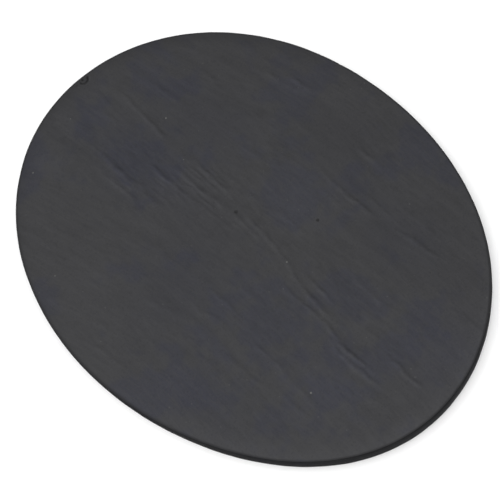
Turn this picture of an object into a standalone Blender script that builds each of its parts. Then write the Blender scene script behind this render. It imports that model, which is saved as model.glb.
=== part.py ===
"""Flat oval basalt massage stone, modelled as the single piece of rock it is.

The stone is a thin, nearly elliptical slab. Both faces are ground flat and
roll off gently near the rim, the arrises are eased to a small radius, and
the wall between them is left a little crowned. The outline was ground by
hand, so it wanders off the true oval by a few tenths of a millimetre.

Metres, +Z up. The origin is at the centre of the footprint, on the plane
that the stone rests on. +X runs along the stone's length.
"""

import math

import bmesh
import bpy
from mathutils import Vector

# Driving dimensions, in metres
HALF_LENGTH = 0.07245  # semi-axis of the oval along X
HALF_WIDTH = 0.05770  # semi-axis of the oval along Y
THICKNESS = 0.0085  # from flat face to flat face
ARRIS_RADIUS = 0.0007  # the eased corner between a face and the wall
WALL_CROWN = 0.0002  # how far the middle of the wall stands proud of its ends
ROLL_WIDTH = 0.0045  # width of the zone in which a face leaves the flat
ROLL_DROP = 0.00035  # how far it has dropped where the arris begins

# Waves of the hand-ground outline: how many go round the stone, how high each
# stands off the oval in metres, and the angle of one crest in degrees.
OUTLINE_WAVES = ((3, 0.00039, -13.6), (4, 0.00020, -40.2), (5, 0.00012, -25.1))

# How finely the surface is divided
SIDES = 120  # points round the outline
ARRIS_STEPS = 3  # facets across an eased corner
WALL_STEPS = 4  # facets up the crowned wall
ROLL_STEPS = 3  # facets across a roll-off

BASALT = {"color": (0.054, 0.054, 0.057, 1.0), "roughness": 0.55, "metallic": 0.0}


def clear_scene():
    for obj in list(bpy.data.objects):
        bpy.data.objects.remove(obj, do_unlink=True)


def rim_point(angle):
    """A point of the widest outline, with the waves added along the oval's normal."""
    on_oval = Vector((HALF_LENGTH * math.cos(angle), HALF_WIDTH * math.sin(angle)))
    normal = Vector((math.cos(angle) / HALF_LENGTH, math.sin(angle) / HALF_WIDTH))
    height = sum(
        amplitude * math.cos(count * (angle - math.radians(crest)))
        for count, amplitude, crest in OUTLINE_WAVES
    )
    return on_oval + normal.normalized() * height


def outline():
    """The widest outline and its outward normals, with the footprint's box centred on the origin."""
    angles = [2 * math.pi * i / SIDES for i in range(SIDES)]
    points = [rim_point(a) for a in angles]
    centre = Vector(
        (
            (min(p.x for p in points) + max(p.x for p in points)) / 2,
            (min(p.y for p in points) + max(p.y for p in points)) / 2,
        )
    )
    step = 1e-4
    normals = []
    for a in angles:
        along = rim_point(a + step) - rim_point(a - step)
        normals.append(Vector((along.y, -along.x)).normalized())
    return [p - centre for p in points], normals


def upper_profile():
    """(inset, height above mid-thickness) from the middle of the wall up to the flat of the face."""
    half = THICKNESS / 2
    arris_foot = half - ROLL_DROP - ARRIS_RADIUS
    points = []
    for i in range(WALL_STEPS // 2):
        rise = arris_foot * i / (WALL_STEPS // 2)
        points.append((WALL_CROWN * (rise / arris_foot) ** 2, rise))
    for i in range(ARRIS_STEPS + 1):
        turn = math.pi / 2 * i / ARRIS_STEPS
        points.append(
            (
                WALL_CROWN + ARRIS_RADIUS * (1 - math.cos(turn)),
                arris_foot + ARRIS_RADIUS * math.sin(turn),
            )
        )
    for i in range(1, ROLL_STEPS + 1):
        along = i / ROLL_STEPS
        # A quarter cosine: steepest at the arris, level where it meets the flat.
        points.append(
            (
                WALL_CROWN + ARRIS_RADIUS + ROLL_WIDTH * along,
                half - ROLL_DROP * (1 - math.sin(math.pi / 2 * along)),
            )
        )
    return points


def whole_profile():
    """(inset, height above the table) from the lower flat, round the wall, to the upper flat."""
    upper = upper_profile()
    lower = [(inset, -height) for inset, height in upper[:0:-1]]
    return [(inset, height + THICKNESS / 2) for inset, height in lower + upper]


def stone_mesh():
    points, normals = outline()
    bm = bmesh.new()
    rings = []
    for inset, height in whole_profile():
        verts = []
        for point, normal in zip(points, normals):
            at = point - normal * inset
            verts.append(bm.verts.new((at.x, at.y, height)))
        edges = [
            bm.edges.new((verts[i], verts[(i + 1) % SIDES])) for i in range(SIDES)
        ]
        rings.append((verts, edges))
    for (_, below), (_, above) in zip(rings, rings[1:]):
        bmesh.ops.bridge_loops(bm, edges=below + above)
    bm.faces.new(rings[0][0][::-1])
    bm.faces.new(rings[-1][0])
    bmesh.ops.recalc_face_normals(bm, faces=bm.faces[:])
    mesh = bpy.data.meshes.new("stone")
    bm.to_mesh(mesh)
    bm.free()
    return mesh


def basalt_material():
    material = bpy.data.materials.new("basalt")
    material.use_nodes = True
    shader = material.node_tree.nodes["Principled BSDF"]
    shader.inputs["Base Color"].default_value = BASALT["color"]
    shader.inputs["Roughness"].default_value = BASALT["roughness"]
    shader.inputs["Metallic"].default_value = BASALT["metallic"]
    material.diffuse_color = BASALT["color"]
    return material


def main():
    clear_scene()
    mesh = stone_mesh()
    mesh.materials.append(basalt_material())
    mesh.shade_smooth()
    mesh.set_sharp_from_angle(angle=math.radians(40))
    stone = bpy.data.objects.new("stone", mesh)
    bpy.context.scene.collection.objects.link(stone)


main()
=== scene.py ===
"""Looks of the flat oval basalt massage stone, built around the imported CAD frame.

The stone is one piece of rock, so there is one visible piece. It is built in
mesh code on the same profile and outline as the CAD solid, at about 0.3 mm
spacing on the top face, and carries the stone's real relief: hand-honed
unevenness, shallow grinding lines, a pair of healed veins, vesicle pits and
one small chip on the rim. Colour, sheen and grain come from a node material.
"""

import math

import bpy
import numpy as np
from mathutils import Matrix, Vector
from mathutils.geometry import delaunay_2d_cdt


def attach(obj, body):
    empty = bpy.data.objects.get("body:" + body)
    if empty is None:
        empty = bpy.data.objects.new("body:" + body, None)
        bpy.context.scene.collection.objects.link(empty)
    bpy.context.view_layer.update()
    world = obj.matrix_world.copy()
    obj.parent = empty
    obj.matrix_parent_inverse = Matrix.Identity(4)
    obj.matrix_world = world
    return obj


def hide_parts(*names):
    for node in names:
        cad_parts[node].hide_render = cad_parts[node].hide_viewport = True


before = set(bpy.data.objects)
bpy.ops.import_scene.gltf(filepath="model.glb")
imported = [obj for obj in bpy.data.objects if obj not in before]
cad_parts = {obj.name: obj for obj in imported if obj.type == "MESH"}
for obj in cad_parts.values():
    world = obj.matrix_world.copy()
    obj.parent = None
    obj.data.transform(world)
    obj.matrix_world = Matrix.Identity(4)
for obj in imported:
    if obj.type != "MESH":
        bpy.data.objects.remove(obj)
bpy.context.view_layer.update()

# ----------------------------------------------------------------------------
# The stone's dimensions, as in the CAD source. Metres.
HALF_LENGTH = 0.07245
HALF_WIDTH = 0.05770
THICKNESS = 0.0085
ARRIS_RADIUS = 0.0007
WALL_CROWN = 0.0002
ROLL_WIDTH = 0.0045
ROLL_DROP = 0.00035
OUTLINE_WAVES = ((3, 0.00039, -13.6), (4, 0.00020, -40.2), (5, 0.00012, -25.1))

# ----------------------------------------------------------------------------
# Camera: the picture's viewing angle, 18 degrees off vertical.
CAM_AZIMUTH = -29.66
CAM_ELEVATION = 72.0
CAM_ROLL = -24.0
CAM_DISTANCE = 0.600
CAM_LENS = 154.29
CAM_TARGET = Vector((0.001719, -0.002402, THICKNESS))


def make_camera():
    az, el, roll = (math.radians(a) for a in (CAM_AZIMUTH, CAM_ELEVATION, CAM_ROLL))
    back = Vector(
        (math.cos(el) * math.cos(az), math.cos(el) * math.sin(az), math.sin(el))
    )
    right = (-back).cross(Vector((0, 0, 1))).normalized()
    up = right.cross(-back)
    right, up = (
        math.cos(roll) * right + math.sin(roll) * up,
        -math.sin(roll) * right + math.cos(roll) * up,
    )
    data = bpy.data.cameras.new("camera")
    data.lens = CAM_LENS
    data.sensor_width = 36.0
    data.clip_start = 0.01
    data.clip_end = 200.0
    data.dof.use_dof = False
    cam = bpy.data.objects.new("camera", data)
    turn = Matrix((right, up, back)).transposed().to_4x4()
    cam.matrix_world = Matrix.Translation(CAM_TARGET + CAM_DISTANCE * back) @ turn
    bpy.context.scene.collection.objects.link(cam)
    bpy.context.scene.camera = cam


make_camera()


# ----------------------------------------------------------------------------
# Gradient noise on arrays, seeded, so each run gives the same stone.
class Noise:
    def __init__(self, seed):
        rng = np.random.default_rng(seed)
        self.perm = np.concatenate([rng.permutation(512)] * 3)
        g = rng.normal(size=(512, 3))
        self.grad = g / np.linalg.norm(g, axis=1)[:, None]

    def __call__(self, x, y, z=0.0):
        x, y, z = np.broadcast_arrays(
            np.asarray(x, float), np.asarray(y, float), np.asarray(z, float)
        )
        xi, yi, zi = (np.floor(a).astype(np.int64) for a in (x, y, z))
        fx, fy, fz = x - xi, y - yi, z - zi
        u, v, w = (f * f * f * (f * (f * 6 - 15) + 10) for f in (fx, fy, fz))
        total = np.zeros_like(fx)
        for dx in (0, 1):
            for dy in (0, 1):
                for dz in (0, 1):
                    h = self.perm[
                        self.perm[self.perm[(xi + dx) & 511] + ((yi + dy) & 511)]
                        + ((zi + dz) & 511)
                    ]
                    g = self.grad[h]
                    dot = (
                        g[..., 0] * (fx - dx)
                        + g[..., 1] * (fy - dy)
                        + g[..., 2] * (fz - dz)
                    )
                    total += (
                        dot
                        * (u if dx else 1 - u)
                        * (v if dy else 1 - v)
                        * (w if dz else 1 - w)
                    )
        return total * 1.5


def octaves(noise, x, y, z=0.0, count=3, gain=0.5):
    total, size, reach = 0.0, 1.0, 0.0
    for k in range(count):
        f = 2.0**k
        total = total + size * noise(x * f + 17.3 * k, y * f - 9.1 * k, z * f + 4.7 * k)
        reach += size
        size *= gain
    return total / reach


def smooth(x, low, high):
    t = np.clip((np.asarray(x, float) - low) / (high - low), 0, 1)
    return t * t * (3 - 2 * t)


# ----------------------------------------------------------------------------
# Outline and profile, in millimetres from here to the end of the mesh code.
MM = 1000.0


def rim_raw(angle):
    a, b = HALF_LENGTH * MM, HALF_WIDTH * MM
    nx, ny = np.cos(angle) / a, np.sin(angle) / b
    size = np.hypot(nx, ny)
    height = sum(
        h * MM * np.cos(k * (angle - math.radians(c))) for k, h, c in OUTLINE_WAVES
    )
    return a * np.cos(angle) + nx / size * height, b * np.sin(
        angle
    ) + ny / size * height


def rim_centre():
    x, y = rim_raw(np.arange(120) * 2 * math.pi / 120)
    return (x.min() + x.max()) / 2, (y.min() + y.max()) / 2


CENTRE = rim_centre()


def rim(angle):
    """Points of the widest outline and its outward normals."""
    x, y = rim_raw(angle)
    x1, y1 = rim_raw(angle + 1e-4)
    x0, y0 = rim_raw(angle - 1e-4)
    tx, ty = x1 - x0, y1 - y0
    size = np.hypot(tx, ty)
    return x - CENTRE[0], y - CENTRE[1], ty / size, -tx / size


T = THICKNESS * MM
ARRIS = ARRIS_RADIUS * MM
CROWN = WALL_CROWN * MM
ROLL = ROLL_WIDTH * MM
DROP = ROLL_DROP * MM
FLAT_INSET = CROWN + ARRIS + ROLL
ARRIS_FOOT = T / 2 - DROP - ARRIS  # height over mid-thickness where the wall ends


def upper_profile(wall_steps, arris_steps, roll_stations):
    """(inset, height above mid-thickness, outward and upward parts of the normal)."""
    rows = []
    for i in range(wall_steps):
        rise = ARRIS_FOOT * i / wall_steps
        lean = 2 * CROWN * rise / ARRIS_FOOT**2
        size = math.hypot(1, lean)
        rows.append((CROWN * (rise / ARRIS_FOOT) ** 2, rise, 1 / size, lean / size))
    for i in range(arris_steps + 1):
        turn = math.pi / 2 * i / arris_steps
        rows.append(
            (
                CROWN + ARRIS * (1 - math.cos(turn)),
                ARRIS_FOOT + ARRIS * math.sin(turn),
                math.cos(turn),
                math.sin(turn),
            )
        )
    for along in roll_stations:
        slope = DROP * math.pi / 2 * math.cos(math.pi / 2 * along) / ROLL
        size = math.hypot(1, slope)
        rows.append(
            (
                CROWN + ARRIS + ROLL * along,
                T / 2 - DROP * (1 - math.sin(math.pi / 2 * along)),
                slope / size,
                1 / size,
            )
        )
    return rows


# ----------------------------------------------------------------------------
# Where things are on the stone, in millimetres on the top face.
CHIP = (-69.25, 10.4)  # a small shell-shaped flake is missing just inside the rim
CHIP_OUT = math.radians(171.0)  # the way out to the rim from there
PITS = (  # x, y, radius, depth: open vesicles in the top face
    (12.0, 15.6, 0.42, 0.17),
    (-8.4, 4.3, 0.50, 0.15),
    (-69.9, 7.9, 0.30, 0.10),
    (-69.8, 5.2, 0.26, 0.08),
    (-36.4, -29.5, 0.20, 0.05),
    (31.5, -20.8, 0.18, 0.05),
    (46.6, 21.4, 0.20, 0.05),
    (-22.7, 33.8, 0.18, 0.05),
    (3.5, -38.2, 0.20, 0.05),
    (-52.1, 24.6, 0.17, 0.05),
)
RIM_PITS = PITS[2:4]  # these two lie on the roll-off, not on the flat
FLECKS = (  # x, y, radius, strength: light mineral grains cut by the face
    (-42.1, 14.9, 0.30, 1.0),
    (-63.6, -20.3, 0.30, 0.7),
    (12.3, 0.8, 0.28, 0.9),
    (40.2, -25.1, 0.34, 1.1),
    (-39.0, -40.5, 0.26, 0.6),
    (-30.2, 7.9, 0.22, 0.5),
    (-64.9, -1.2, 0.22, 0.6),
    (41.0, 9.0, 0.20, 0.35),
)
PATCHES = (  # x, y, half-length, half-width, lighter or darker, colder or warmer
    (-41, 0, 17, 7, -0.03, 1.00),
    (-33, 22, 14, 8, -0.05, 0.50),
    (34, 26, 15, 7, -0.08, 0.45),
    (6, 38, 12, 8, -0.08, 0.20),
    (-8, -22, 9, 13, -0.06, 0.60),
    (63, 5, 7, 9, 0.08, 0.90),
    (20, -46, 10, 6, 0.02, 0.60),
    (42, -20, 12, 6, 0.05, 0.35),
    (0, 17, 13, 7, 0.10, -0.20),
    (52, -27, 8, 7, 0.05, 0.00),
)
RIDGES = (  # crest lines of the strongest grinding marks and of the healed vein: points, height
    (((-37, 5.5), (-22, 3.5), (-8, 3.3), (3, 1.6), (9, 0.0)), 0.028),
    (((-12, 6.3), (-3, 4.6), (5, 2.9), (12, 1), (18, -2), (31, -5), (43, -6.5)), 0.031),
    (((17, 0.8), (24, 0.0), (33, -1.8)), 0.026),
    (((12, -3), (19, -6), (32, -7), (41, -10), (57, -10.5)), 0.035),
    (((33, -9), (40, -12), (57, -13)), 0.036),
    (((49, -4.5), (66, -7)), 0.036),
    (((28, 8), (47, 6)), 0.033),
    (((2, 28), (14, 26), (27, 25.5)), 0.035),
    (((28, 26), (49, 26)), 0.033),
    (((-60, 14), (-47, 11.5), (-35, 9.5)), 0.036),
    (((-30, 10), (-20, 8), (-10, 7)), 0.033),
    (((-41, 1.5), (-25, 0), (-9, -0.5)), 0.036),
    (((-58, -3), (-44, -5.5), (-31, -6)), 0.035),
)


def lay(x, y):
    """How far the grinding lines have wandered sideways.

    They run near the stone's length and fall a little towards +X, except at
    the -X end away from the middle, where they rise a little.
    """
    rising = smooth(np.abs(y - 4.0), 8.0, 26.0) * (1 - smooth(x, -10.0, 20.0))
    level = np.minimum(x + 22.0, 0.0)
    return -0.115 * x * (1 - 1.4 * rising) - 0.0013 * level**2


N_LARGE, N_MID, N_STREAK, N_STREAK2, N_WARP, N_WALL, N_CHIP, N_VEIN, N_PATCH = (
    Noise(s) for s in (11, 23, 37, 41, 53, 67, 71, 83, 97)
)


def lesser_ridges(count, seed):
    """Weaker marks of the same kind, scattered over the face along the grinding lines."""
    rng = np.random.default_rng(seed)
    marks = []
    while len(marks) < count:
        x, y = rng.uniform(-64, 64), rng.uniform(-50, 50)
        length = rng.uniform(8, 19)
        if math.hypot((abs(x) + length / 2) / 70, y / 55) > 0.95:
            continue
        xs = x + length * np.linspace(-0.5, 0.5, 4)
        ys = y + lay(xs, y) - lay(x, y) + rng.normal(0, 0.35, 4)
        marks.append((tuple(zip(xs, ys)), rng.uniform(0.014, 0.027)))
    return tuple(marks)


def bundle(seed):
    """Narrow marks that lie close side by side, left by one pass of a coarser stone."""
    rng = np.random.default_rng(seed)
    marks = []
    for start in np.arange(-4.5, 11.0, 1.45):
        x = -25 + 0.5 * start + rng.uniform(-4, 4)
        y = start + rng.normal(0, 0.15)
        xs = x + rng.uniform(9, 17) * np.linspace(-0.5, 0.5, 4)
        ys = y + lay(xs, y) - lay(-25.0, y) + rng.normal(0, 0.18, 4)
        marks.append((tuple(zip(xs, ys)), rng.uniform(0.021, 0.032)))
    return tuple(marks)


def streak_coordinate(x, y):
    warp = 1.1 * N_WARP(x / 34, y / 26) + 0.35 * N_WARP(x / 11 + 5, y / 9)
    return y - lay(x, y) + warp


def ridge_relief(x, y):
    """The strongest marks: low rounded ridges that waver and break up along their length."""
    h = np.zeros_like(np.asarray(x, float))
    wide = RIDGES + lesser_ridges(30, 5)
    for n, (points, height) in enumerate(wide + bundle(8)):
        size = 0.80 if n < len(wide) else 0.55
        px, py = np.array(points, float).T
        near = (x > px[0]) & (x < px[-1])
        near &= (y > py.min() - 4) & (y < py.max() + 4)
        u, v = x[near], y[near]
        crest = np.interp(u, px, py) - 0.35
        crest = crest + 0.36 * N_VEIN(u / 3.3, n * 3.7) + 0.26 * N_VEIN(u / 1.3, n * 5.1 + 40)
        length = px[-1] - px[0]
        fade = smooth(u, px[0], px[0] + 0.28 * length) * (1 - smooth(u, px[-1] - 0.28 * length, px[-1]))
        strength = 0.85 + 0.80 * N_VEIN(u / 4.6, n * 2.3 + 90) + 0.95 * N_VEIN(u / 1.4, v / 1.1, n * 4.1)
        width = size * (0.78 + 0.20 * N_VEIN(u / 5.3, n * 1.9 + 140))
        form = np.exp(-(((v - crest) / width) ** 2))
        form = form - 0.75 * np.exp(-(((v - crest - 1.25 * size) / (0.85 * width)) ** 2))
        h[near] += 1.25 * height * fade * np.maximum(strength, 0.15) * form
    return h


def mark_relief(x, y):
    """The ordinary grinding marks, in millimetres: short, shallow, and fainter in some patches than in others."""
    v = streak_coordinate(x, y)
    patch = 0.25 + 0.75 * smooth(octaves(N_LARGE, x / 26 + 9, y / 15 - 4, count=2), -0.25, 0.35)
    # They are deepest in a band along the middle of the stone.
    middle = 3.0 - 0.16 * np.maximum(x, 0)
    patch = patch * (0.66 + 0.50 * np.exp(-(((y - middle) / 14) ** 2)))
    h = 0.0250 * patch * N_STREAK(x / 3.8, v / 1.05)
    h = h + 0.0215 * patch * N_STREAK2(x / 2.8, v / 0.66)
    return h + 0.0140 * N_STREAK(x / 16 + 40, v / 2.6 + 11)


def face_relief(x, y):
    """Height of the general relief of a honed face, in millimetres."""
    h = 0.022 * octaves(N_LARGE, x / 38, y / 30, count=2)
    h = h + 0.014 * octaves(N_MID, x / 9, y / 6, count=2)
    h = h + 0.0050 * N_MID(x / 1.3 + 70, y / 1.0)
    return h + mark_relief(x, y)


def pit_relief(x, y, pits):
    h = np.zeros_like(np.asarray(x, float))
    for px, py, r, depth in pits:
        d = np.hypot(x - px, y - py) / r
        h -= depth * np.exp(-(d**4) * 0.9)
        h += 0.05 * depth * np.exp(-(((d - 1.5) / 0.4) ** 2))
    return h


def wall_relief(x, y, z):
    """The wall is ground along its length by hand, which left long shallow facets and a few nicks."""
    around = np.arctan2(y / 57.7, x / 72.45) * 65
    h = 0.05 * octaves(N_WALL, x / 19, y / 19, z / 9, count=2)
    # Facets meet in blunt ridges that lean a little.
    h = h + 0.11 * (0.35 - np.abs(N_WALL(x / 8.5 + 60, y / 8.5, z / 26)))
    h = h + 0.016 * octaves(N_WALL, x / 3.1 + 30, y / 3.1, z / 1.9, count=2)
    h = h + 0.010 * N_STREAK2(around / 6.5, z / 0.9)
    nick = smooth(N_CHIP(x / 1.7, y / 1.7, z / 1.5), 0.62, 0.95)
    return h - 0.10 * nick


def chip_frame(x, y):
    """Distances from the chip's middle: towards the rim, along the rim, and in radii of the scarp round it."""
    dx, dy = x - CHIP[0], y - CHIP[1]
    out = dx * math.cos(CHIP_OUT) + dy * math.sin(CHIP_OUT)
    side = -dx * math.sin(CHIP_OUT) + dy * math.cos(CHIP_OUT)
    edge = 1 + 0.16 * N_CHIP(x / 0.9, y / 0.9, 3.0) + 0.07 * N_CHIP(x / 0.35, y / 0.35, 5.0)
    # The scarp is a blunt bow across the inner side; outwards the flake ran out over the arris.
    reach = np.where(out < 0, 1.12, 2.4)
    return out, side, np.hypot(out / reach, side / 1.42) / edge


def chip_relief(x, y):
    """A shell-shaped floor, deepest along its inner side, that ends at a short scarp and thins out over the rim."""
    out, side, d = chip_frame(x, y)
    inner = 1 - smooth(out, -0.6, 0.8)
    floor = 0.10 + 0.26 * inner * smooth(d, 0.25, 0.80)
    floor = floor + 0.022 * np.sin(9.0 * d) * inner + 0.03 * N_CHIP(x / 0.35, y / 0.35, 8.0)
    hollow = floor * (1 - smooth(d, 0.80, 1.05)) * (1 - 0.75 * smooth(out, 0.2, 1.2))
    lip = 0.030 * inner * np.exp(-(((d - 1.25) / 0.16) ** 2))
    return lip - hollow


# ----------------------------------------------------------------------------
# Mesh of the stone
def ring_angles(count):
    """Angles round the outline, closer together beside the chip."""
    fine = np.linspace(0, 2 * math.pi, 20001)
    x, y, _, _ = rim(fine)
    run = np.hypot(np.diff(x), np.diff(y))
    middle = (fine[1:] + fine[:-1]) / 2
    chip_angle = math.atan2(CHIP[1] / 56.0, CHIP[0] / 70.6)
    off = (middle - chip_angle + math.pi) % (2 * math.pi) - math.pi
    run = run * (1 + 3.2 * np.exp(-((off / 0.034) ** 4)))
    travelled = np.concatenate([[0], np.cumsum(run)])
    return np.interp(np.arange(count) * travelled[-1] / count, travelled, fine)


class Builder:
    def __init__(self):
        self.points, self.normals, self.faces, self.count = [], [], [], 0

    def add(self, x, y, z, nx, ny, nz):
        block = np.stack(np.broadcast_arrays(x, y, z), -1).reshape(-1, 3).astype(float)
        turn = np.stack(np.broadcast_arrays(nx, ny, nz), -1).reshape(-1, 3).astype(float)
        if len(turn) == 1:
            turn = np.repeat(turn, len(block), 0)
        first = self.count
        self.points.append(block)
        self.normals.append(turn)
        self.count += len(block)
        return np.arange(first, self.count)

    def quads(self, lower, upper):
        """Faces between two closed rings of the same length, the upper one further along the profile."""
        for a, b, c, d in zip(
            lower, np.roll(lower, -1), np.roll(upper, -1), upper
        ):
            self.faces.append((int(a), int(b), int(c), int(d)))


def boundary_edges(cells, ids):
    """Edges that only one of the given cells has, as vertex pairs."""
    seen = {}
    for i, j in cells:
        loop = (ids[i, j], ids[i + 1, j], ids[i + 1, j + 1], ids[i, j + 1])
        for k in range(4):
            pair = (int(loop[k]), int(loop[(k + 1) % 4]))
            key = (min(pair), max(pair))
            seen[key] = seen.get(key, 0) + 1
    return [k for k, n in seen.items() if n == 1]


def fill_between(build, edges, extra, xy, inside, up):
    """Triangles of a constrained Delaunay mesh over the given edges and points, where inside(x, y) holds."""
    used = sorted({v for e in edges for v in e} | set(extra))
    place = {v: n for n, v in enumerate(used)}
    coords = [Vector((float(xy[v][0]), float(xy[v][1]))) for v in used]
    out = delaunay_2d_cdt(
        coords, [(place[a], place[b]) for a, b in edges], [], 0, 1e-7
    )
    verts, tris, origin = out[0], out[2], out[3]
    back = [used[o[0]] if o else None for o in origin]
    for tri in tris:
        c = sum((verts[k] for k in tri), Vector((0, 0))) / 3
        if not inside(c.x, c.y) or any(back[k] is None for k in tri):
            continue
        a, b, d = (verts[k] for k in tri)
        area = (b.x - a.x) * (d.y - a.y) - (b.y - a.y) * (d.x - a.x)
        if abs(area) < 1e-9:
            continue
        order = tri if (area > 0) == up else tri[::-1]
        build.faces.append(tuple(int(back[k]) for k in order))


def fill_face(build, ring, height, up, dx, dy, gap, pits):
    """A flat face inside the given ring: a grid along the grinding lines, stitched to the ring and refined round pits."""
    nz = 1.0 if up else -1.0
    all_points = {int(v): build.points[-1][v - build.count + len(build.points[-1])][:2] for v in ring}
    loop = np.array([all_points[int(v)] for v in ring])
    x0, x1 = loop[:, 0].min(), loop[:, 0].max()
    y0, y1 = loop[:, 1].min(), loop[:, 1].max()
    xs = np.arange(math.floor(x0 / dx), math.ceil(x1 / dx) + 1) * dx
    ys = np.arange(math.floor(y0 / dy), math.ceil(y1 / dy) + 1) * dy
    # Signed distance to the ring, taken from its polygon edges.
    gx, gy = np.meshgrid(xs, ys, indexing="ij")
    nx_, ny_ = np.roll(loop, -1, 0)[:, 1] - loop[:, 1], loop[:, 0] - np.roll(loop, -1, 0)[:, 0]
    size = np.hypot(nx_, ny_)
    nx_, ny_ = nx_ / size, ny_ / size
    turn = 1.0 if (loop[:, 0] * np.roll(loop, -1, 0)[:, 1] - loop[:, 1] * np.roll(loop, -1, 0)[:, 0]).sum() > 0 else -1.0
    far = np.full(gx.shape, -1e9)
    for k in range(0, len(loop)):
        far = np.maximum(far, turn * ((gx - loop[k, 0]) * nx_[k] + (gy - loop[k, 1]) * ny_[k]))
    good = far < -gap
    cells = good[:-1, :-1] & good[1:, :-1] & good[:-1, 1:] & good[1:, 1:]
    cx, cy = (xs[:-1] + xs[1:]) / 2, (ys[:-1] + ys[1:]) / 2
    holes = []
    for px, py, r, _ in pits:
        hx = np.abs(cx - px) < max(1.2, 3.2 * r) + dx / 2
        hy = np.abs(cy - py) < max(1.1, 3.0 * r) + dy / 2
        mask = np.zeros_like(cells)
        mask[np.ix_(hx, hy)] = True
        if not cells[mask].all():
            continue
        holes.append((mask, px, py, r))
        cells = cells & ~mask
    kept = np.zeros_like(good)
    for a in (0, 1):
        for b in (0, 1):
            kept[a : a + cells.shape[0], b : b + cells.shape[1]] |= cells
    ids = np.full(good.shape, -1, int)
    flat_ids = build.add(gx[kept], gy[kept], height, 0.0, 0.0, nz)
    ids[kept] = flat_ids
    xy = dict(all_points)
    for v, x, y in zip(flat_ids, gx[kept], gy[kept]):
        xy[int(v)] = (x, y)
    ii, jj = np.nonzero(cells)
    quad = np.stack([ids[ii, jj], ids[ii + 1, jj], ids[ii + 1, jj + 1], ids[ii, jj + 1]], 1)
    if not up:
        quad = quad[:, ::-1]
    build.faces.extend(tuple(int(v) for v in q) for q in quad)

    def cell_at(x, y):
        i = int(math.floor((x - xs[0]) / dx))
        j = int(math.floor((y - ys[0]) / dy))
        if 0 <= i < cells.shape[0] and 0 <= j < cells.shape[1]:
            return i, j
        return None

    whole = cells.copy()
    for mask, *_ in holes:
        whole |= mask
    outer = boundary_edges(np.argwhere(whole), np.where(ids >= 0, ids, -7))
    ring_edges = [(int(a), int(b)) for a, b in zip(ring, np.roll(ring, -1))]

    def in_band(x, y):
        at = cell_at(x, y)
        return at is None or not whole[at]

    fill_between(build, outer + ring_edges, [], xy, in_band, up)
    for mask, px, py, r in holes:
        edges = boundary_edges(np.argwhere(mask), ids)
        extra = []
        centre = build.add(px, py, height, 0.0, 0.0, nz)
        extra.append(int(centre[0]))
        xy[int(centre[0])] = (px, py)
        reach = min(max(1.2, 3.2 * r), max(1.1, 3.0 * r)) * 0.92
        radii = [q for q in (0.3 * r, 0.6 * r, 0.85 * r, 1.1 * r, 1.4 * r, 1.8 * r, 2.4 * r) if q < reach]
        for n, q in enumerate(radii):
            count = 10 if n < 2 else 16
            a = (np.arange(count) + 0.5 * (n % 2)) * 2 * math.pi / count
            new = build.add(px + q * np.cos(a), py + q * np.sin(a), height, 0.0, 0.0, nz)
            for v, xx, yy in zip(new, px + q * np.cos(a), py + q * np.sin(a)):
                xy[int(v)] = (float(xx), float(yy))
                extra.append(int(v))

        def in_hole(x, y, mask=mask):
            at = cell_at(x, y)
            return at is not None and bool(mask[at])

        fill_between(build, edges, extra, xy, in_hole, up)


def stone_mesh():
    build = Builder()
    angles = ring_angles(760)
    px, py, nx, ny = rim(angles)
    upper = upper_profile(
        7, 8, (0.03, 0.07, 0.12, 0.18, 0.25, 0.33, 0.42, 0.52, 0.63, 0.75, 0.87, 1.0)
    )
    lower = upper_profile(7, 6, (0.1, 0.25, 0.5, 0.75, 1.0))
    rows = [(i, -h, o, -u) for i, h, o, u in lower[:0:-1]] + list(upper)
    rings = []
    for inset, h, out, rise in rows:
        rings.append(
            build.add(
                px - nx * inset, py - ny * inset, h + T / 2, nx * out, ny * out, rise
            )
        )
    for below, above in zip(rings, rings[1:]):
        build.quads(below, above)
    # Each flat face is added straight after its own ring is the newest block.
    top_ring = build.add(
        px - nx * FLAT_INSET, py - ny * FLAT_INSET, T, 0.0, 0.0, 1.0
    )
    fill_face(build, top_ring, T, True, 0.80, 0.30, 0.42, [p for p in PITS if p not in RIM_PITS])
    low_ring = build.add(
        px - nx * FLAT_INSET, py - ny * FLAT_INSET, 0.0, 0.0, 0.0, -1.0
    )
    fill_face(build, low_ring, 0.0, False, 1.30, 0.90, 0.8, [])
    points = np.concatenate(build.points)
    normals = np.concatenate(build.normals)
    same = {int(a): int(b) for a, b in zip(top_ring, rings[-1])}
    same.update({int(a): int(b) for a, b in zip(low_ring, rings[0])})
    faces = [tuple(same.get(v, v) for v in f) for f in build.faces]
    used = np.zeros(len(points), bool)
    for f in faces:
        used[list(f)] = True
    number = np.cumsum(used) - 1
    faces = [tuple(int(number[v]) for v in f) for f in faces]
    return points[used], normals[used], faces


def displaced(points, normals):
    x, y, z = points.T
    top = smooth(normals[:, 2], 0.55, 0.97)
    under = smooth(-normals[:, 2], 0.55, 0.97)
    wall = 1 - top - under
    h = top * (face_relief(x, y) + ridge_relief(x, y) + pit_relief(x, y, PITS) + chip_relief(x, y))
    # The underside was honed the same way on another lie of the lines.
    h = h + under * np.minimum(
        0.6 * face_relief(-x + 400, y * 0.9 + 170) - 0.02, 0.0
    )
    h = h + wall * wall_relief(x, y, z)
    return points + normals * h[:, None]


def rim_place(x, y):
    """Azimuth in degrees, and distance in from the widest outline."""
    turn = np.arctan2(y / (HALF_WIDTH * MM), x / (HALF_LENGTH * MM))
    rx, ry, nx, ny = rim(turn)
    return np.degrees(np.arctan2(y, x)), (rx - x) * nx + (ry - y) * ny


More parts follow.
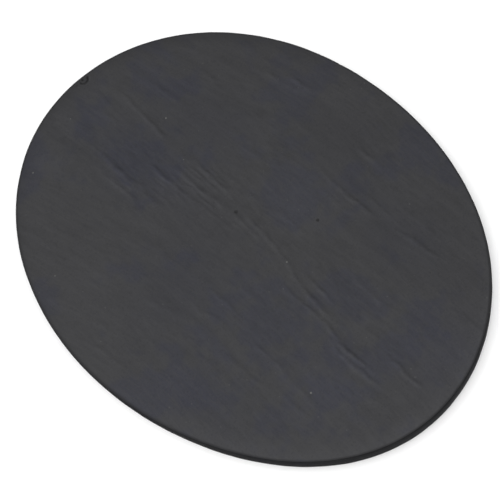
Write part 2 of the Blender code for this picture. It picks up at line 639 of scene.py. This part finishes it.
def edge_shade_shift(points):
    """Shifts the place where the painted shade along the edge begins on the face.

    The painted shade is narrowest on the -Y side and reaches a little further
    into the face at either side of that.
    """
    x, y, _ = points.T
    azimuth, inset = rim_place(x, y)
    turn = np.radians(azimuth)
    shift = -0.13 + 0.14 * np.cos(turn + 0.52) - 0.10 * np.cos(2 * (turn - 0.87))
    shift = shift + 0.08 * N_PATCH(x / 14, y / 14, 5.0)
    width = 0.9 * (1 + 0.25 * N_PATCH(x / 3.5, y / 3.5, 9.0))
    return shift * (1 - smooth(inset, 0.7 * width, 1.6 * width))


def tone_shade_and_cold(points, normals):
    """How light and how cold the rock is at each vertex, with the painted light and shade below, beside what the
    material adds.

    High spots are painted a little lighter and the marks between them darker: painted highlight and painted shade of
    the grinding relief.
    """
    x, y, _ = points.T
    top = smooth(normals[:, 2], 0.90, 0.99)
    under = smooth(-normals[:, 2], 0.90, 0.99)
    tone, cold = np.ones(len(x)), np.zeros(len(x))
    # The patches' edges wander; the underside has the same rock seen from its other side.
    u = x + 3.2 * N_PATCH(x / 13, y / 13) + 1.5 * N_PATCH(x / 4 + 30, y / 4)
    v = y + 3.2 * N_PATCH(x / 13 + 70, y / 13) + 1.5 * N_PATCH(x / 4 + 90, y / 4)
    for px, py, rx, ry, light, blue in PATCHES:
        blob = np.exp(-(((u - px) / rx) ** 2 + ((v - py) / ry) ** 2) * 0.75)
        tone += blob * light
        cold += 0.70 * blob * blue
    # The face is painted a little lighter towards -Y, a painted light gradient as from a lamp on that side, and the
    # rock is clouded throughout.
    tone -= 0.0014 * y
    tone += 0.030 * N_PATCH(u / 7.0 + 12, v / 4.5, 5.0) + 0.020 * N_PATCH(u / 17.0, v / 11.0, 9.0)
    # Painted highlight on the crests of the grinding marks and painted shade in the marks, here and on the underside.
    lift = mark_relief(x, y) + ridge_relief(x, y)
    tone += top * np.where(lift > 0, 4.4, 6.4) * lift
    tone += under * 3.0 * mark_relief(-x + 400, y * 0.9 + 170)
    # Just inside the rim the face is painted a little lighter at the +X end and darker at the other: a painted
    # highlight and painted shade on the rolled-off edge.
    azimuth, inset = rim_place(x, y)
    tone += top * np.exp(-((inset / 3.4) ** 2)) * (0.18 * np.cos(np.radians(azimuth + 4)) - 0.01)
    # A dark line runs along the arris: painted shade where the face turns over into the wall.
    arris_shade = np.exp(-(((inset - 0.50) / 0.30) ** 2)) * smooth(normals[:, 2], 0.0, 0.6)
    tone -= 0.30 * arris_shade * (1 + 0.5 * N_WALL(x / 4, y / 4, 7.0))
    # It is broader and darker along the -Y side: painted shade there.
    broad_shade = np.exp(-(((inset - 0.75) / 0.45) ** 2)) * smooth(normals[:, 2], 0.3, 0.8)
    tone -= 0.24 * broad_shade * np.exp(-(((azimuth + 105) / 38) ** 2))
    # The wall is lighter low down and towards the +X end, and darker towards the top.
    wall = 1 - smooth(np.abs(normals[:, 2]), 0.3, 0.8)
    height = points[:, 2] + 0.6 * N_WALL(x / 7, y / 7, 3.0)
    tone += wall * (0.36 * (1 - smooth(height, 0.4, 3.2)) - 0.24 * smooth(height, 3.5, 6.5))
    tone += wall * 1.4 * np.exp(-(((azimuth - 10) / 22) ** 2)) * (1 - smooth(height, 2.0, 7.5))
    # Pits are painted darker the deeper they are: painted shade in the hollows.
    pits = top * pit_relief(x, y, PITS)
    tone *= np.exp(5.0 * np.minimum(pits, 0))
    out, side, d = chip_frame(x, y)
    # The fresh scarp is darkest at its +Y end, and one dark spot lies on the floor. The scarp's darkness is partly the
    # darker broken rock and partly painted shade in the hollow.
    inner = (1 - smooth(out, -0.1, 0.7)) * (0.80 + 0.30 * smooth(-side, -0.9, 0.9))
    scarp = np.exp(-(((d - 0.93) / 0.21) ** 2)) * inner
    lip = np.exp(-(((d - 1.28) / 0.15) ** 2)) * (1 - smooth(out, -0.7, 0.1))
    spot = np.exp(-(np.hypot(out - 0.35, side - 0.25) / 0.36) ** 4)
    tone *= 1 - top * np.minimum(0.95 * scarp + 0.80 * spot + 0.15 * (d < 0.8), 0.93) + top * 0.30 * lip
    return np.clip(tone, 0.1, 2.6), np.clip(cold, 0.0, 1.0)


def mesh_object(name, points, faces, values):
    mesh = bpy.data.meshes.new(name)
    mesh.from_pydata((points / MM).tolist(), [], faces)
    for key, value in values.items():
        layer = mesh.attributes.new(key, "FLOAT", "POINT")
        layer.data.foreach_set("value", value.astype(np.float32))
    mesh.update()
    mesh.shade_smooth()
    obj = bpy.data.objects.new(name, mesh)
    bpy.context.scene.collection.objects.link(obj)
    return obj


rest_points, rest_normals, stone_faces = stone_mesh()
stone_tone_and_shade, stone_cold = tone_shade_and_cold(rest_points, rest_normals)
stone = mesh_object(
    "stone_surface",
    displaced(rest_points, rest_normals),
    stone_faces,
    {
        "tone": stone_tone_and_shade,
        "cold": stone_cold,
        "edge": edge_shade_shift(rest_points),
        "across": streak_coordinate(rest_points[:, 0], rest_points[:, 1]) / MM,
    },
)


# ----------------------------------------------------------------------------
# Material
class Nodes:
    """Short names for the node types used below."""

    def __init__(self, name):
        self.mat = bpy.data.materials.new(name)
        self.mat.use_nodes = True
        self.tree = self.mat.node_tree
        self.tree.nodes.clear()

    def new(self, kind, **settings):
        node = self.tree.nodes.new(kind)
        for key, value in settings.items():
            setattr(node, key, value)
        return node

    def link(self, a, b):
        self.tree.links.new(a, b)

    def _feed(self, socket, value):
        if isinstance(value, bpy.types.NodeSocket):
            self.link(value, socket)
        elif value is not None:
            socket.default_value = value

    def math(self, operation, a, b=None, c=None, clamp=False):
        n = self.new("ShaderNodeMath", operation=operation, use_clamp=clamp)
        for s, v in zip(n.inputs, (a, b, c)):
            self._feed(s, v)
        return n.outputs[0]

    def ramp(self, value, low, high, to_low=0.0, to_high=1.0, soft=True):
        n = self.new("ShaderNodeMapRange")
        n.interpolation_type = "SMOOTHSTEP" if soft else "LINEAR"
        n.clamp = True
        for key, v in (
            ("Value", value),
            ("From Min", low),
            ("From Max", high),
            ("To Min", to_low),
            ("To Max", to_high),
        ):
            self._feed(n.inputs[key], v)
        return n.outputs["Result"]

    def noise(self, vector, scale, detail=2.0, roughness=0.5, distortion=0.0):
        n = self.new("ShaderNodeTexNoise")
        n.noise_dimensions = "3D"
        self._feed(n.inputs["Vector"], vector)
        n.inputs["Scale"].default_value = scale
        n.inputs["Detail"].default_value = detail
        n.inputs["Roughness"].default_value = roughness
        n.inputs["Distortion"].default_value = distortion
        return n.outputs["Fac"]

    def voronoi(self, vector, scale, feature="F1", randomness=1.0):
        n = self.new("ShaderNodeTexVoronoi", feature=feature)
        self._feed(n.inputs["Vector"], vector)
        n.inputs["Scale"].default_value = scale
        n.inputs["Randomness"].default_value = randomness
        return n

    def combine(self, x, y, z):
        n = self.new("ShaderNodeCombineXYZ")
        for s, v in zip(n.inputs, (x, y, z)):
            self._feed(s, v)
        return n.outputs[0]

    def mix(self, factor, a, b, blend="MIX"):
        n = self.new("ShaderNodeMix", data_type="RGBA", blend_type=blend)
        self._feed(n.inputs[0], factor)
        self._feed(n.inputs[6], a)
        self._feed(n.inputs[7], b)
        return n.outputs[2]

    def bump(self, height, distance, strength=1.0, normal=None):
        n = self.new("ShaderNodeBump")
        n.inputs["Strength"].default_value = strength
        n.inputs["Distance"].default_value = distance
        self._feed(n.inputs["Height"], height)
        if normal is not None:
            self.link(normal, n.inputs["Normal"])
        return n.outputs[0]


def basalt_material(name, on_wall, base_dark, base_light, cold, warm, specular, rough_low, rough_high, edge_shade_colour, edge_shade_share):
    k = Nodes(name)
    coord = k.new("ShaderNodeTexCoord")
    place = coord.outputs["Object"]
    split = k.new("ShaderNodeSeparateXYZ")
    k.link(place, split.inputs[0])
    x, y, z = split.outputs

    # Coordinates that follow the grinding lines.
    own_across = k.new("ShaderNodeAttribute", attribute_name="across")
    across = own_across.outputs["Fac"]
    if on_wall:
        # The wall's marks run round the stone, a little off level.
        level = k.math("ADD", z, k.math("MULTIPLY", k.noise(place, 45.0, 1.0), 0.004))
        lines = [
            k.combine(k.math("MULTIPLY", x, long), k.math("MULTIPLY", y, long), k.math("MULTIPLY", level, short))
            for long, short in ((170.0, 1900.0), (70.0, 620.0), (420.0, 6000.0))
        ]
    else:
        lines = [
            k.combine(k.math("MULTIPLY", x, long), k.math("MULTIPLY", across, short), z)
            for long, short in ((190.0, 1250.0), (80.0, 460.0), (360.0, 4200.0))
        ]
    fine = k.noise(lines[0], 1.0, 3.0, 0.6)
    coarse = k.noise(lines[1], 1.0, 2.0, 0.55)
    hair = k.noise(lines[2], 1.0, 2.0, 0.6)

    # Clouding of the rock itself, and its colder and warmer patches.
    cloud = k.noise(place, 30.0, 4.0, 0.55)
    tint = k.noise(place, 62.0, 3.0, 0.6)
    grain = k.noise(place, 2300.0, 3.0, 0.65)
    salt = k.voronoi(place, 700.0)
    speck = k.math("MULTIPLY", k.ramp(salt.outputs["Distance"], 0.08, 0.26, 0.25, 0.0), k.ramp(k.noise(place, 950.0, 0.0), 0.70, 0.78))
    for fx, fy, radius, strength in FLECKS:
        gap = k.new("ShaderNodeVectorMath", operation="DISTANCE")
        k.link(k.combine(x, y, 0.0), gap.inputs[0])
        gap.inputs[1].default_value = (fx / MM, fy / MM, 0.0)
        spot = k.ramp(k.math("ADD", gap.outputs["Value"], k.math("MULTIPLY", k.math("SUBTRACT", grain, 0.5), 0.0003)), 0.4 * radius / MM, 1.15 * radius / MM, strength, 0.0)
        speck = k.math("MAXIMUM", speck, k.math("MULTIPLY", spot, k.math("GREATER_THAN", z, 0.5 * THICKNESS)))

    tone = k.math("ADD", k.math("MULTIPLY", cloud, 0.45), k.math("MULTIPLY", coarse, 0.33))
    tone = k.math("ADD", tone, k.math("MULTIPLY", grain, 0.22))
    tone = k.ramp(tone, 0.36 if on_wall else 0.30, 0.64 if on_wall else 0.70, soft=False)
    colour = k.mix(tone, base_dark, base_light)
    # The tone attribute holds the rock's own tone and the painted light and shade laid into it.
    own_tone_and_shade = k.new("ShaderNodeAttribute", attribute_name="tone")
    own_cold = k.new("ShaderNodeAttribute", attribute_name="cold")
    chill = k.math("ADD", own_cold.outputs["Fac"], k.ramp(tint, 0.50, 0.62, 0.0, 0.75), clamp=True)
    colour = k.mix(chill, colour, k.mix(1.0, colour, cold, "MULTIPLY"))
    colour = k.mix(k.math("MULTIPLY", k.ramp(fine, 0.35, 0.75), 0.45 if on_wall else 0.28), colour, warm)
    colour = k.mix(k.math("MULTIPLY", k.ramp(hair, 0.50, 0.72), 0.22), colour, warm)
    colour = k.mix(k.ramp(hair, 0.28, 0.46, 0.16, 0.0), colour, base_dark)
    # Crystals show as faint dark and light grains under half a millimetre across.
    crystal = k.voronoi(place, 2500.0)
    crystal_tone = k.new("ShaderNodeSeparateColor")
    k.link(crystal.outputs["Color"], crystal_tone.inputs[0])
    colour = k.mix(k.math("MULTIPLY", k.ramp(crystal_tone.outputs[0], 0.72, 1.0), 0.18), colour, warm)
    colour = k.mix(k.math("MULTIPLY", k.ramp(crystal_tone.outputs[1], 0.72, 1.0), 0.20), colour, k.mix(0.5, base_dark, (0.0, 0.0, 0.0, 1.0)))
    scaled = k.new("ShaderNodeVectorMath", operation="SCALE")
    k.link(colour, scaled.inputs[0])
    k.link(own_tone_and_shade.outputs["Fac"], scaled.inputs["Scale"])
    colour = scaled.outputs["Vector"]
    colour = k.mix(speck, colour, (0.085, 0.085, 0.082, 1.0))
    relief = k.math("ADD", k.math("MULTIPLY", grain, 0.50), k.math("MULTIPLY", fine, 0.40))
    relief = k.math("ADD", relief, k.math("MULTIPLY", hair, 0.25))
    if on_wall:
        # Open pores that the grinding did not take out, painted near-black inside as painted shade in the holes.
        pore = k.voronoi(place, 520.0)
        pore = k.math("MULTIPLY", k.ramp(pore.outputs["Distance"], 0.10, 0.30, 1.0, 0.0), k.ramp(k.noise(place, 260.0, 1.0), 0.52, 0.60))
        colour = k.mix(k.math("MULTIPLY", pore, 0.75), colour, (0.0030, 0.0030, 0.0034, 1.0))
        relief = k.math("SUBTRACT", relief, k.math("MULTIPLY", pore, 2.0))

    rough = k.math("ADD", k.ramp(cloud, 0.3, 0.7, rough_low, rough_high), k.math("MULTIPLY", k.math("SUBTRACT", fine, 0.5), 0.14))
    rough = k.math("ADD", rough, k.math("MULTIPLY", k.math("SUBTRACT", grain, 0.5), 0.10), clamp=True)

    # Towards the wall the honed finish gives way to a dull ground one, and the colour darkens as the surface turns
    # away from the top: painted shade.
    facing = k.new("ShaderNodeSeparateXYZ")
    k.link(coord.outputs["Normal"], facing.inputs[0])
    own_edge_shade = k.new("ShaderNodeAttribute", attribute_name="edge")
    turned_shade = k.ramp(k.math("ADD", k.math("ABSOLUTE", facing.outputs[2]), own_edge_shade.outputs["Fac"]), 0.45, 0.985, 1.0, 0.0)
    colour = k.mix(k.math("MULTIPLY", turned_shade, edge_shade_share), colour, edge_shade_colour)

    normal = k.bump(relief, 0.000030 if on_wall else 0.000012, 1.0)

    shader = k.new("ShaderNodeBsdfPrincipled")
    shader.inputs["Metallic"].default_value = 0.0
    shader.inputs["IOR"].default_value = 1.5
    shader.inputs["Specular IOR Level"].default_value = specular
    k.link(colour, shader.inputs["Base Color"])
    k.link(rough, shader.inputs["Roughness"])
    k.link(normal, shader.inputs["Normal"])
    out = k.new("ShaderNodeOutputMaterial")
    k.link(shader.outputs[0], out.inputs["Surface"])
    return k.mat


honed = basalt_material(
    "basalt_honed",
    False,
    (0.0200, 0.0200, 0.0218, 1.0),
    (0.0296, 0.0296, 0.0317, 1.0),
    (0.79, 0.82, 1.05, 1.0),
    (0.0352, 0.0350, 0.0359, 1.0),
    0.14,
    0.46,
    0.56,
    # The edge colour and its share paint shade where the face turns over into the wall.
    (0.0135, 0.0135, 0.0148, 1.0),
    0.9,
)
# The wall: a dull ground finish, with colours darkened well below the face's as painted shade on the wall.
wall_ground_and_shade = basalt_material(
    "basalt_wall_ground_and_painted_shade",
    True,
    (0.0070, 0.0070, 0.0078, 1.0),
    (0.0155, 0.0155, 0.0168, 1.0),
    (0.85, 0.86, 1.04, 1.0),
    (0.0250, 0.0250, 0.0258, 1.0),
    0.02,
    0.68,
    0.84,
    (0.0125, 0.0125, 0.0138, 1.0),
    0.0,
)
stone.data.materials.append(honed)
stone.data.materials.append(wall_ground_and_shade)
upright = np.abs(rest_normals[:, 2])
for polygon in stone.data.polygons:
    if upright[list(polygon.vertices)].mean() < 0.50:
        polygon.material_index = 1
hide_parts("stone")
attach(stone, "root")


# ----------------------------------------------------------------------------
# Floor and light
def make_floor():
    mesh = bpy.data.meshes.new("floor")
    s = 30.0
    mesh.from_pydata([(-s, -s, 0), (s, -s, 0), (s, s, 0), (-s, s, 0)], [], [(0, 1, 2, 3)])
    floor = bpy.data.objects.new("floor", mesh)
    bpy.context.scene.collection.objects.link(floor)
    mat = bpy.data.materials.new("floor_white")
    mat.use_nodes = True
    shader = mat.node_tree.nodes["Principled BSDF"]
    shader.inputs["Base Color"].default_value = (0.93, 0.93, 0.93, 1)
    shader.inputs["Roughness"].default_value = 0.9
    shader.inputs["Specular IOR Level"].default_value = 0.2
    mesh.materials.append(mat)


def soft_light(name, azimuth, elevation, strength):
    """A broad studio light far away, 41 degrees across as seen from the stone, so it lights the whole floor evenly."""
    data = bpy.data.lights.new(name, "SUN")
    data.angle = math.radians(41.0)
    data.energy = strength
    light = bpy.data.objects.new(name, data)
    az, el = math.radians(azimuth), math.radians(elevation)
    away = Vector((math.cos(el) * math.cos(az), math.cos(el) * math.sin(az), math.sin(el)))
    light.location = away
    light.rotation_euler = away.to_track_quat("Z", "Y").to_euler()
    bpy.context.scene.collection.objects.link(light)


def make_world(colour, strength):
    world = bpy.data.worlds.new("studio")
    world.use_nodes = True
    bg = world.node_tree.nodes["Background"]
    bg.inputs["Color"].default_value = colour
    bg.inputs["Strength"].default_value = strength
    bpy.context.scene.world = world


make_floor()
make_world((1.0, 1.0, 1.0, 1.0), 1.0)
soft_light("key", 225.0, 68.0, 0.75)
soft_light("fill", 335.0, 68.0, 0.68)
soft_light("top", 0.0, 90.0, 0.20)

bpy.context.scene.view_settings.view_transform = "Standard"
